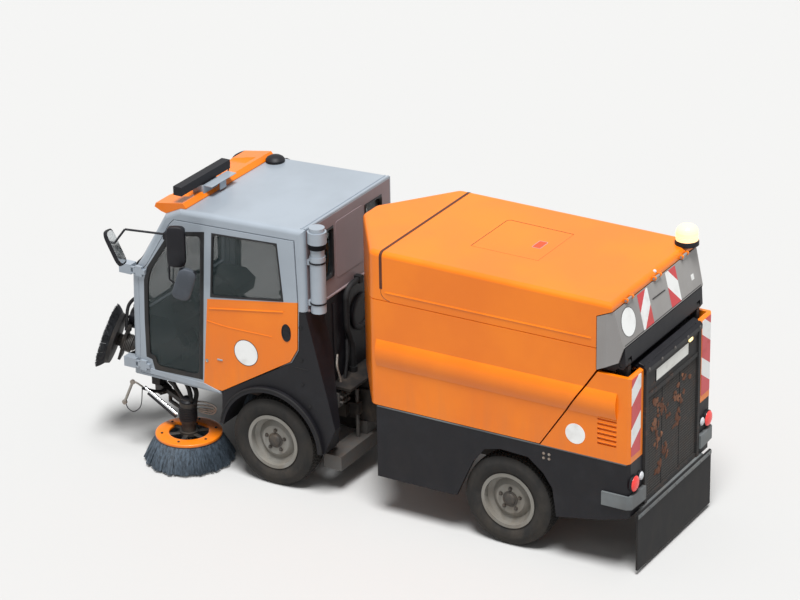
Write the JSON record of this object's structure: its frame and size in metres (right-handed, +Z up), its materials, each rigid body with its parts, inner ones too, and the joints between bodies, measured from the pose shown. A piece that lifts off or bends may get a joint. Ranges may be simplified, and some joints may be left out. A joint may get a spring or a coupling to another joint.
{
  "type": "street sweeper truck",
  "caption": "Compact articulated street sweeper: glazed cab unit with side brushes and a suction nozzle, hinged to a rear unit with a tipping hopper and tailgate.",
  "frame": {"origin": "middle of the machine's length and width, on the ground", "axes": "+X to the machine's left, -Y to its front, +Z up"},
  "size_m": [1.8724, 4.572, 2.172],
  "materials": {
    "tyre": "matt black rubber",
    "rim_paint": "dusty silver paint",
    "orange_paint": "semi-gloss orange paint",
    "silver_paint": "satin silver paint",
    "black_steel": "black chassis paint",
    "black_plastic": "matt black moulded plastic",
    "black_rubber": "matt rubber sheet",
    "cast_metal": "painted casting",
    "bare_steel": "worn steel",
    "rod_chrome": "hard chrome",
    "window_glass": "tinted glass",
    "clear_lens": "clear lens over a reflector",
    "red_lens": "red lens",
    "amber_lens": "amber lens",
    "seat_cloth": "dark woven cloth",
    "bristle_plastic": "grey-black bristles"
  },
  "bodies": {
    "rear_unit": {"rear_axle": "black_steel", "rear_frame": "black_steel", "rear_side_panels": "orange_paint", "rear_skirts": "black_plastic", "engine_block": "cast_metal", "rear_grille": "black_steel", "rear_hood": "black_plastic", "rear_bumper": "silver_paint", "rear_flap": "black_rubber", "tail_lamps": "red_lens", "tip_barrels": "black_steel", "tow_eye_rear": "black_steel"},
    "hopper": {"hopper_body": "orange_paint", "hopper_cover": "orange_paint", "hopper_hinge_beam": "black_steel", "beacon": "amber_lens"},
    "tailgate": {"hopper_door": "silver_paint"},
    "tip_pistons": {"tip_rods": "rod_chrome"},
    "front_unit": {"front_axle": "black_steel", "front_frame": "black_steel", "cab_roof": "silver_paint", "cab_floor": "black_plastic", "cab_nose": "silver_paint", "cab_frame": "silver_paint", "cab_glass": "window_glass", "front_fenders": "black_plastic", "roof_fairing": "orange_paint", "light_bar": "black_plastic", "headlamps": "clear_lens", "intake_stack": "silver_paint", "seats": "seat_cloth", "dashboard": "black_plastic", "cab_hose": "black_rubber", "tow_eye_front": "black_steel"},
    "nozzle": {"suction_nozzle": "bare_steel"},
    "boom": {"front_boom": "black_steel"},
    "front_rotor": {"front_brush": "bristle_plastic"},
    "wheel_front_left": {"tyre_front_left": "tyre", "rim_front_left": "rim_paint"},
    "wheel_front_right": {"tyre_front_right": "tyre", "rim_front_right": "rim_paint"},
    "wheel_rear_left": {"tyre_rear_left": "tyre", "rim_rear_left": "rim_paint"},
    "wheel_rear_right": {"tyre_rear_right": "tyre", "rim_rear_right": "rim_paint"},
    "door_left": {"door_frame_left": "silver_paint", "door_panel_left": "orange_paint", "door_glass_left": "window_glass", "mirrors_left": "black_plastic"},
    "bracket_left": {"brush_bracket_left": "black_steel"},
    "arm_left": {"brush_arm_left": "black_steel"},
    "brush_left": {"side_brush_left": "bristle_plastic"},
    "door_right": {"door_frame_right": "silver_paint", "door_panel_right": "orange_paint", "door_glass_right": "window_glass", "mirrors_right": "black_plastic"},
    "bracket_right": {"brush_bracket_right": "black_steel"},
    "arm_right": {"brush_arm_right": "black_steel"},
    "brush_right": {"side_brush_right": "bristle_plastic"}
  },
  "joints": [
    {"name": "articulation", "type": "hinge", "parent": "rear_unit", "child": "front_unit", "pos_m": [0, 0.335, 0.52], "axis": [0, 0, 1], "range_deg": [-33, 33]},
    {"name": "hopper_tip", "type": "hinge", "parent": "rear_unit", "child": "hopper", "pos_m": [0, 2.15, 1.556], "axis": [-1, 0, 0], "range_deg": [0, 50]},
    {"name": "tailgate_lift", "type": "hinge", "parent": "hopper", "child": "tailgate", "pos_m": [0, 2.118, 1.972], "axis": [1, 0, 0], "range_deg": [0, 75]},
    {"name": "piston_slide", "type": "slide", "parent": "rear_unit", "child": "tip_pistons", "axis": [0, -0.3868, 0.9222], "range_m": [0, 0.5172]},
    {"name": "nozzle_drop", "type": "slide", "parent": "front_unit", "child": "nozzle", "axis": [0, 0, -1], "range_m": [0, 0.14]},
    {"name": "boom_swing", "type": "hinge", "parent": "front_unit", "child": "boom", "pos_m": [0.08, -1.9, 0.7], "axis": [0, 0, 1], "range_deg": [-80, 10]},
    {"name": "front_brush_spin", "type": "hinge", "parent": "boom", "child": "front_rotor", "pos_m": [0.395, -2.004, 0.74], "axis": [0.3253, -0.8937, 0.309], "continuous": true},
    {"name": "wheel_front_left_spin", "type": "hinge", "parent": "front_unit", "child": "wheel_front_left", "pos_m": [0.5235, -0.63, 0.341], "axis": [1, 0, 0], "continuous": true},
    {"name": "wheel_front_right_spin", "type": "hinge", "parent": "front_unit", "child": "wheel_front_right", "pos_m": [-0.5235, -0.63, 0.341], "axis": [1, 0, 0], "continuous": true},
    {"name": "wheel_rear_left_spin", "type": "hinge", "parent": "rear_unit", "child": "wheel_rear_left", "pos_m": [0.5235, 1.297, 0.341], "axis": [1, 0, 0], "continuous": true},
    {"name": "wheel_rear_right_spin", "type": "hinge", "parent": "rear_unit", "child": "wheel_rear_right", "pos_m": [-0.5235, 1.297, 0.341], "axis": [1, 0, 0], "continuous": true},
    {"name": "door_left_hinge", "type": "hinge", "parent": "front_unit", "child": "door_left", "pos_m": [0.632, -1.76, 1.06], "axis": [0, 0, -1], "range_deg": [0, 75]},
    {"name": "brush_left_swing", "type": "hinge", "parent": "front_unit", "child": "bracket_left", "pos_m": [0.36, -1.765, 0.45], "axis": [0, 0, -1], "range_deg": [-5, 35]},
    {"name": "brush_left_lift", "type": "hinge", "parent": "bracket_left", "child": "arm_left", "pos_m": [0.39428, -1.69829, 0.44], "axis": [0.8894, -0.4571, 0], "range_deg": [0, 12]},
    {"name": "brush_left_spin", "type": "hinge", "parent": "arm_left", "child": "brush_left", "pos_m": [0.545, -1.405, 0.2], "axis": [0, 0, 1], "continuous": true},
    {"name": "door_right_hinge", "type": "hinge", "parent": "front_unit", "child": "door_right", "pos_m": [-0.632, -1.76, 1.06], "axis": [0, 0, 1], "range_deg": [0, 75]},
    {"name": "brush_right_swing", "type": "hinge", "parent": "front_unit", "child": "bracket_right", "pos_m": [-0.36, -1.765, 0.45], "axis": [0, 0, 1], "range_deg": [-5, 35]},
    {"name": "brush_right_lift", "type": "hinge", "parent": "bracket_right", "child": "arm_right", "pos_m": [-0.39428, -1.69829, 0.44], "axis": [0.8894, 0.4571, 0], "range_deg": [0, 12]},
    {"name": "brush_right_spin", "type": "hinge", "parent": "arm_right", "child": "brush_right", "pos_m": [-0.545, -1.405, 0.2], "axis": [0, 0, 1], "continuous": true}
  ],
  "couplings": [
    {"joint": "piston_slide", "follows": "hopper_tip", "m_per_rad": 0.59035}
  ]
}
